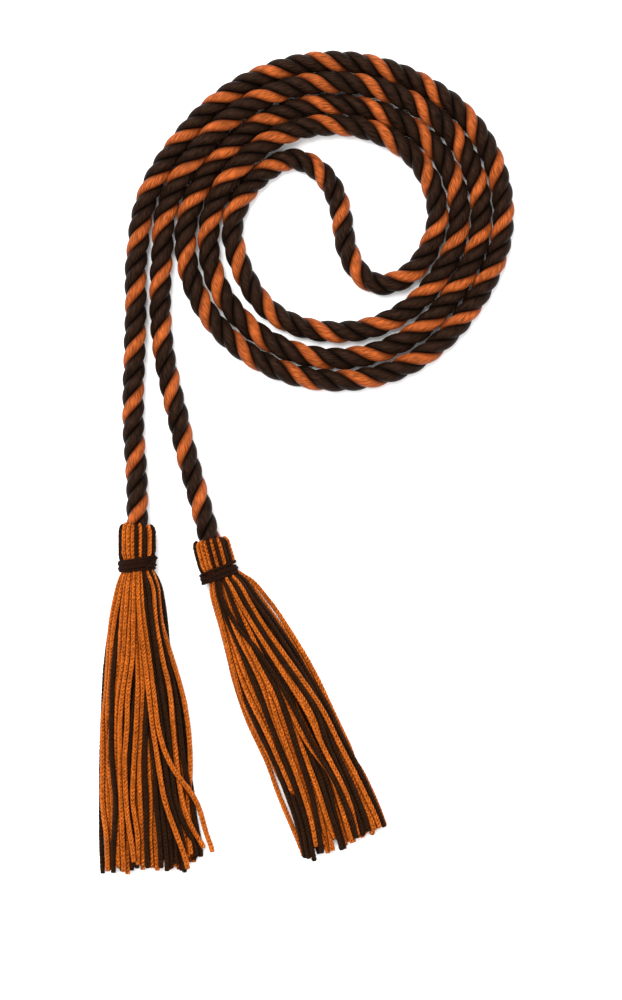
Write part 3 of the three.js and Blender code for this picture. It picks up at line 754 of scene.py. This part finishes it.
def clamp_to_pile(place, room, pile, share, radius, charted):
    """Keeps the strands above the surface and within the outline; in the neck, within its oval."""
    middle, half, height, in_neck = pile
    x, z = place[..., 0], place[..., 1]
    limit = half - radius
    x[:] = np.where(charted[:, None], x, np.clip(x, middle - limit, middle + limit))
    top = pile_top((x - middle) / half, height, share, radius) - radius + room
    z[:] = np.clip(z, radius, np.maximum(top, radius))
    rise = z - AXIS_HEIGHT
    size = np.sqrt((x / (NECK_HALF_WIDTH - radius)) ** 2 + (rise / (NECK_HALF_HEIGHT - radius)) ** 2)
    shrink = np.where(in_neck & (size > 1), 1 / np.maximum(size, 1e-6), 1)
    x[:] = x * shrink
    z[:] = np.where(in_neck, AXIS_HEIGHT + rise * shrink, z)


def head_angles(tassel, strands):
    """The strands that show on the head, with their angle round it."""
    half_width, _ = head_ellipse(0.5)
    angles = {number: math.acos(x * MM / half_width) for x, number in tassel["head_strands"]}
    below = [i for i, strand in enumerate(strands) if not strand["charted"]]
    angles.update(zip(below[::2], np.radians(np.linspace(*LOWER_SIDE))))
    return angles


def head_points(tassel, angle, lower, bulge):
    """Middles of an outer strand on the head, from its fold, which lies lower than the mouth, to
    the neck, where it may bulge over the binding."""
    head = tassel["head"] + bulge
    places = []
    for share in HEAD_SHARES:
        half_width, half_height = head_ellipse(share)
        places.append((half_width * math.cos(angle), share * head + lower * (1 - share) ** 2,
                       AXIS_HEIGHT + half_height * math.sin(angle)))
    x, along, z = places[0]
    fold = (x - FOLD_INWARD * math.cos(angle), along, z - FOLD_DOWN * FOLD_INWARD * math.sin(angle))
    return [fold] + places[1:]


def strand_points(tassel, cut, angle, along, place, radius, rng):
    """A strand's middle and radii; angle is its place round the head, or None if inside it."""
    end = neck_end(tassel) + cut * tassel["length"]
    last = np.searchsorted(along, end)
    if angle is None:
        x, z = place[0]
        points = [(x * INSIDE_SHARE, tassel["head"] - INSIDE_DEPTH,
                   AXIS_HEIGHT + (z - AXIS_HEIGHT) * INSIDE_SHARE)]
        radii = [radius[0]]
        first = 0
    else:
        right = 0.5 + 0.5 * math.cos(angle)
        bulge = tassel["bulge"] * np.clip(-math.cos(angle) / BULGE_FULL, 0, 1) ** 2
        lower = (rng.uniform(0, FOLD_UNEVEN) + FOLD_LOWER * right ** 3) * MM
        points = head_points(tassel, angle, lower, bulge)
        radii = [STRAND_RADIUS * HEAD_SIZES[0]] * (len(points) - 1) + [STRAND_RADIUS * HEAD_SIZES[1]]
        first = int(np.searchsorted(along, tassel["head"] + bulge + HEAD_TO_NECK))
    for i in range(first, last):
        x, z = place[i]
        if angle is not None:
            # under the binding it goes from its place on the head's surface to its packed one
            share = np.clip((neck_end(tassel) - along[i]) / (neck_end(tassel) - along[first]), 0, 1)
            over_x = (NECK_HALF_WIDTH - radius[i]) * math.cos(angle)
            over_z = AXIS_HEIGHT + (NECK_HALF_HEIGHT - radius[i]) * math.sin(angle)
            x, z = x + (over_x - x) * share, z + (over_z - z) * share
        points.append((x, along[i], z))
        radii.append(radius[i])
    if end - along[last - 1] > END_STEP:
        x, z = (np.interp(end, along, place[:, i]) for i in (0, 1))
        points.append((x, end, z))
        radii.append(radius[last - 1])
    return points, radii


def strand_tube(points, radii, detail, rng):
    """A knitted strand through points, with its radius at each."""
    per_stitch, sides = detail
    dense = catmull_rom(np.array(points), STRAND_SPAN_STEPS)
    along = lengths_along(dense)
    count = int(along[-1] / STITCH * per_stitch)
    line, length = even_points(dense, count)
    place = np.linspace(0, length, count)
    radius = np.interp(place, along[::STRAND_SPAN_STEPS], radii)
    tangent = tangents_of(line)
    up = unit(np.array((0, 0, 1.0)) - tangent * tangent[:, 2:3])
    side = np.cross(tangent, up)
    roll = rng.uniform(-ROLL_START, ROLL_START) + smooth_noise(rng, count, *ROLL)
    angles = np.linspace(0, 2 * math.pi, sides, endpoint=False)
    # how far round from a seam each side is, from 0 to 1 and back
    off = np.minimum(angles, 2 * math.pi - angles)
    off = np.minimum(off, math.pi - off) / (math.pi / 2)
    drift = smooth_noise(rng, count, *DRIFT)
    phase = (place / STITCH + drift)[:, None] + V_LENGTH * off[None, :] + rng.uniform(0, 1)
    crest = 0.5 + 0.5 * np.cos(2 * math.pi * phase) + rng.normal(0, ROUGHNESS, phase.shape)
    seam = SEAM[0] * np.exp(-(off / SEAM[1]) ** 2)
    # the relief shapes the stitches, and where it is low, between stitches and along the seam, the
    # material paints shade
    relief = np.clip(VALLEY + (1 - VALLEY) * crest - seam[None, :], 0, 1)
    wide = FLATTENED[0] - FLATTENED[1] * np.abs(np.sin(angles))
    radius = radius * (1 + smooth_noise(rng, count, *SWELL))
    size = radius[:, None] * (RELIEF_SIZE[0] + RELIEF_SIZE[1] * relief) * wide[None, :]
    blunt = np.ones(count)
    blunt[:2], blunt[-2:] = END_SIZES
    size = size * blunt[:, None]
    theta = angles[None, :] + roll[:, None]
    rings = rings_about(line, side, up, size * np.sin(theta), size * np.cos(theta))
    return {"rings": rings, "relief": relief, "across": places_round(angles, STRAND_RADIUS, count),
            "along": place, "line": line, "radius": radius}


def paint_crevice_shade(tubes):
    """Paints shade on each strand where it lies close against another, by lowering its relief there.
    """
    for tube in tubes:
        line, rings = tube["line"], tube["rings"]
        nearest = np.full(rings.shape[:2], FAR)
        for beside in (other["line"] for other in tubes if other is not tube):
            x = np.interp(line[:, 1], beside[:, 1], beside[:, 0])
            z = np.interp(line[:, 1], beside[:, 1], beside[:, 2])
            off = np.hypot(rings[..., 0] - x[:, None], rings[..., 2] - z[:, None])
            off[line[:, 1] > beside[-1, 1]] = FAR
            nearest = np.minimum(nearest, off)
        open_share = np.clip((nearest / tube["radius"][:, None] - CREVICE_SHADE[0]) / CREVICE_SHADE[1], 0, 1)
        # painted shade: the lowered relief brings in the groove colour near another strand's middle
        tube["relief"] = tube["relief"] * open_share


def to_row(tube, mouth, way):
    """From the tassel's own frame to the row's, with each ring turned about to face outwards."""
    rings = tube["rings"][:, ::-1]
    across = np.array((-way[1], way[0], 0))
    tube["rings"] = (rings[..., 0:1] * across + rings[..., 1:2] * way + rings[..., 2:3] * (0, 0, 1)
                     + mouth * (1, 1, 0))
    tube["relief"] = tube["relief"][:, ::-1]
    tube["across"] = tube["across"][:, ::-1]
    return tube


def make_tassel(tassel, mouth, way, materials, rng):
    strands = strand_list(tassel, rng)
    along, place, radius = pack_strands(tassel, strands, rng)
    angles = head_angles(tassel, strands)
    tubes = []
    for i, strand in enumerate(strands):
        points, radii = strand_points(tassel, strand["cut"], angles.get(i), along, place[i], radius,
                                      rng)
        tubes.append(strand_tube(points, radii, FINE if strand["charted"] else COARSE, rng))
    paint_crevice_shade(tubes)
    pieces = []
    for yarn in ("orange", "brown"):
        group = [to_row(tube, mouth, way) for tube, strand in zip(tubes, strands)
                 if strand["yarn"] == yarn]
        nodes = [tassel["name"]] if yarn == "orange" else []
        pieces.append(add_piece(tassel["name"] + "_" + yarn, group, materials["strand_" + yarn],
                                nodes))
    return pieces


# Bindings

# A row is where a winding is along the head at the left and at the right, and how far out it
# lies; a crossing is the two ends (across, along) of a thread over the others, and how far out. mm
BINDING_1 = {
    "rows": [(14.9, 12.7, 0.05), (15.5, 13.7, 0.3), (16.3, 14.7, 0.0), (17.0, 15.6, 0.25),
             (17.8, 16.7, 0.0)],
    "crossing": ((3.4, 17.2), (7.0, 13.0), 0.6),
}
BINDING_2 = {
    "rows": [(12.8, 10.7, 0.3), (13.6, 12.4, 0.1), (14.2, 13.3, 0.45), (15.0, 14.0, 0.1),
             (15.6, 14.9, 0.3)],
    "crossing": ((-6.3, 13.4), (-2.4, 15.3), 0.6),
}


def thread_tube(points):
    """Two-ply thread along points."""
    dense = catmull_rom(np.array(points), THREAD_SPAN_STEPS)
    count = int(lengths_along(dense)[-1] / THREAD_RING)
    line, length = even_points(dense, count)
    tangent = tangents_of(line)
    helper = np.where(np.abs(tangent[:, 1:2]) > 0.8, np.array((0, 0, 1.0)), np.array((0, 1.0, 0)))
    side = unit(np.cross(tangent, helper))
    up = np.cross(side, tangent)
    place = np.linspace(0, length, count)
    angles = np.linspace(0, 2 * math.pi, THREAD_SIDES, endpoint=False)
    turn = 2 * math.pi * place / THREAD_TWIST
    lobe = np.abs(np.cos(angles[None, :] - turn[:, None]))
    size = THREAD_DIAMETER / 2 * (THREAD_SIZE[0] + THREAD_SIZE[1] * lobe)
    rings = rings_about(line, side, up, size * np.cos(angles), size * np.sin(angles))
    # the relief is low between the thread's two plies, where the material paints shade
    return {"rings": rings, "relief": lobe, "along": place,
            "across": places_round(angles, THREAD_DIAMETER / 2, count)}


def wound(rows, rng):
    """Thread wound round the neck: over the top it goes from a row's left to its right, and below
    from there to the next row's left."""
    knots = [along for left, right, _ in rows for along in (left, right)]
    outs = [out for _, _, out in rows for _ in range(2)]
    count = (len(knots) - 1) * HALF_STEPS + 1
    waver = smooth_noise(rng, count, *WAVER)
    swell = smooth_noise(rng, count, *THREAD_SWELL)
    points = []
    for i in range(count):
        half = i / HALF_STEPS
        low = min(int(half), len(knots) - 2)
        ease = (1 - math.cos(math.pi * (half - low))) / 2
        along = knots[low] + (knots[low + 1] - knots[low]) * ease + waver[i]
        out = outs[low] + (outs[low + 1] - outs[low]) * ease + swell[i]
        width = NECK_HALF_WIDTH + THREAD_DIAMETER / 2 + (WINDING_GAP[0] + out) * MM
        height = NECK_HALF_HEIGHT + THREAD_DIAMETER / 2 + (WINDING_GAP[1] + out) * MM
        angle = math.pi * (1 - half)
        points.append((width * math.cos(angle), along * MM, AXIS_HEIGHT + height * math.sin(angle)))
    return points


def over_top(left, right, out):
    """A thread that crosses the others on top, and goes in between them at its ends."""
    points = []
    for i in range(HALF_STEPS + 1):
        share = i / HALF_STEPS
        x = left[0] + (right[0] - left[0]) * share
        along = left[1] + (right[1] - left[1]) * share
        width = NECK_HALF_WIDTH / MM + OVER_GAP[0] + out
        height = NECK_HALF_HEIGHT / MM + OVER_GAP[1] + out
        sink = OVER_SINK * (2 * share - 1) ** 6
        z = AXIS_HEIGHT / MM + height * math.sqrt(max(0, 1 - (x / width) ** 2)) - sink
        points.append((x * MM, along * MM, z * MM))
    return points


def make_binding(name, binding, mouth, way, material, rng):
    lines = [wound(binding["rows"], rng), over_top(*binding["crossing"])]
    tubes = [to_row(thread_tube(points), mouth, way) for points in lines]
    return add_piece(name + "_thread", tubes, material, [name])


# Materials

def scaled(color, share):
    return tuple(c * share for c in color)


def new_material(name, roughness, specular):
    material = bpy.data.materials.new(name)
    material.use_nodes = True
    shader = material.node_tree.nodes["Principled BSDF"]
    shader.inputs["Roughness"].default_value = roughness
    shader.inputs["Specular IOR Level"].default_value = specular
    return material, material.node_tree, shader


def noise_of(tree, scale, vector):
    noise = tree.nodes.new("ShaderNodeTexNoise")
    noise.inputs["Scale"].default_value = scale
    noise.inputs["Detail"].default_value = NOISE_DETAIL
    tree.links.new(vector, noise.inputs["Vector"])
    return noise.outputs["Fac"]


def ramp_of(tree, value, places, colors):
    ramp = tree.nodes.new("ShaderNodeValToRGB")
    for element, place, color in zip(ramp.color_ramp.elements, places, colors):
        element.position = place
        element.color = (*color, 1)
    tree.links.new(value, ramp.inputs["Fac"])
    return ramp.outputs["Color"]


def range_of(tree, value, old, new):
    node = tree.nodes.new("ShaderNodeMapRange")
    node.inputs["From Min"].default_value, node.inputs["From Max"].default_value = old
    node.inputs["To Min"].default_value, node.inputs["To Max"].default_value = new
    tree.links.new(value, node.inputs["Value"])
    return node.outputs["Result"]


def yarn_material(name, color, dark, light, painted_groove_shade, crest, fibre, streak, bump, roughness, specular,
                  sheen):
    """Satin yarn: fine filaments from dark to light, the light ones partly a painted highlight, slow
    changes of tone, and painted shade in the groove colour where the relief is low."""
    material, tree, shader = new_material(name, roughness, specular)
    nodes, links = tree.nodes, tree.links
    tint = [(c / max(color)) ** 0.5 for c in color]
    shader.inputs["Specular Tint"].default_value = (*tint, 1)
    shader.inputs["Sheen Weight"].default_value = sheen
    shader.inputs["Sheen Roughness"].default_value = SHEEN_ROUGHNESS
    shader.inputs["Sheen Tint"].default_value = (*tint, 1)
    place = nodes.new("ShaderNodeUVMap")
    place.uv_map = "yarn"
    stretch = nodes.new("ShaderNodeMapping")
    stretch.inputs["Scale"].default_value = (fibre, streak, 1)
    links.new(place.outputs["UV"], stretch.inputs["Vector"])
    filaments = noise_of(tree, 1.0, stretch.outputs["Vector"])
    # filament tone and painted highlight: the noise runs from dark to light, and the light end stands
    # in for the satin's glints
    tone = ramp_of(tree, filaments, TONE_PLACES, (dark, light))
    space = nodes.new("ShaderNodeTexCoord")
    shade = noise_of(tree, SHADE_SCALE, space.outputs["Object"])
    vary = nodes.new("ShaderNodeVectorMath")
    vary.operation = "SCALE"
    links.new(tone, vary.inputs[0])
    links.new(range_of(tree, shade, SHADE_NOISE, SHADE_RANGE), vary.inputs["Scale"])
    # painted shade: below the crest's relief the colour goes over to the groove shade, darkest in the
    # hollows
    relief = nodes.new("ShaderNodeAttribute")
    relief.attribute_name = "relief"
    sink = nodes.new("ShaderNodeMix")
    sink.data_type = "RGBA"
    sink.inputs["A"].default_value = (*painted_groove_shade, 1)
    links.new(range_of(tree, relief.outputs["Fac"], (0, crest), (0, 1)), sink.inputs["Factor"])
    links.new(vary.outputs["Vector"], sink.inputs["B"])
    links.new(sink.outputs["Result"], shader.inputs["Base Color"])
    ridge = nodes.new("ShaderNodeBump")
    ridge.inputs["Strength"].default_value = bump
    ridge.inputs["Distance"].default_value = BUMP_HEIGHT
    links.new(filaments, ridge.inputs["Height"])
    links.new(ridge.outputs["Normal"], shader.inputs["Normal"])
    return material


def rope_orange():
    return yarn_material("orange_ply", ROPE_ORANGE, scaled(ROPE_ORANGE, 0.5),
                         scaled(ROPE_ORANGE, 1.45), ROPE_ORANGE_GROOVE_SHADE, specular=0.15, sheen=0.03,
                         **ROPE_SURFACE)


def rope_brown():
    # painted shade in the brown plies' creases: 0.15 of their colour
    return yarn_material("brown_ply", ROPE_BROWN, scaled(ROPE_BROWN, 0.3), scaled(ROPE_BROWN, 2.4),
                         scaled(ROPE_BROWN, 0.15), specular=0.07, sheen=0.01, **ROPE_SURFACE)


def strand_orange():
    return yarn_material("orange_strand", STRAND_ORANGE, scaled(STRAND_ORANGE, 0.52), STRAND_LIGHT,
                         STRAND_ORANGE_GROOVE_SHADE, roughness=0.65, specular=0.15, sheen=0.03,
                         **STRAND_SURFACE)


def strand_brown():
    # painted shade in the brown strands' stitch grooves: 0.15 of their colour
    return yarn_material("brown_strand", STRAND_BROWN, scaled(STRAND_BROWN, 0.4),
                         scaled(STRAND_BROWN, 1.8), scaled(STRAND_BROWN, 0.15), roughness=0.75,
                         specular=0.06, sheen=0.01, **STRAND_SURFACE)


def thread_brown():
    # painted shade between the thread's plies: 0.12 of its colour
    return yarn_material("binding_thread", THREAD_BROWN, scaled(THREAD_BROWN, 0.4),
                         scaled(THREAD_BROWN, 1.8), scaled(THREAD_BROWN, 0.12), roughness=0.75,
                         specular=0.06, sheen=0.01, **{**STRAND_SURFACE, "crest": 0.9})


def floor_material():
    material, tree, shader = new_material("floor", FLOOR_ROUGHNESS, FLOOR_SPECULAR)
    grain = tree.nodes.new("ShaderNodeTexNoise")
    grain.inputs["Scale"].default_value = FLOOR_GRAIN
    tone = ramp_of(tree, grain.outputs["Fac"], (0, 1), [(tone,) * 3 for tone in FLOOR_TONES])
    tree.links.new(tone, shader.inputs["Base Color"])
    return material


# Floor and light

def make_floor():
    mesh = bpy.data.meshes.new("floor")
    corners = [(x * FLOOR_HALF, y * FLOOR_HALF, 0) for x, y in ((-1, -1), (1, -1), (1, 1), (-1, 1))]
    mesh.from_pydata(corners, [], [(0, 1, 2, 3)])
    mesh.materials.append(floor_material())
    floor = add_object("floor", mesh)


def add_light(name, location, size, power):
    data = bpy.data.lights.new(name, "AREA")
    data.shape = "DISK"
    data.size = size
    data.energy = power
    light = add_object(name, data)
    light.location = location
    x, y, z = location
    light.rotation_euler = (math.atan2(math.hypot(x, y), z), 0, math.atan2(-y, -x) - math.pi / 2)


def make_light():
    world = bpy.data.worlds.new("studio")
    world.use_nodes = True
    world.node_tree.nodes["Background"].inputs["Color"].default_value = (1, 1, 1, 1)
    world.node_tree.nodes["Background"].inputs["Strength"].default_value = WORLD_STRENGTH
    bpy.context.scene.world = world
    for name, (location, size, power) in LIGHTS.items():
        add_light(name, location, size, power)
    bpy.context.scene.view_settings.view_transform = "Standard"


# Scene

def main():
    make_camera()
    materials = {"rope_orange": rope_orange(), "rope_brown": rope_brown(),
                 "strand_orange": strand_orange(), "strand_brown": strand_brown()}
    plies, line, length, mouths = make_rope(materials)
    rng = np.random.default_rng(SEED + 1)
    pieces = []
    for tassel, (mouth, way) in zip((TASSEL_1, TASSEL_2), mouths):
        pieces += make_tassel(tassel, mouth, way, materials, rng)
    thread = thread_brown()
    pieces.append(make_binding("binding_1", BINDING_1, *mouths[0], thread, rng))
    pieces.append(make_binding("binding_2", BINDING_2, *mouths[1], thread, rng))
    make_floor()
    make_light()


main()
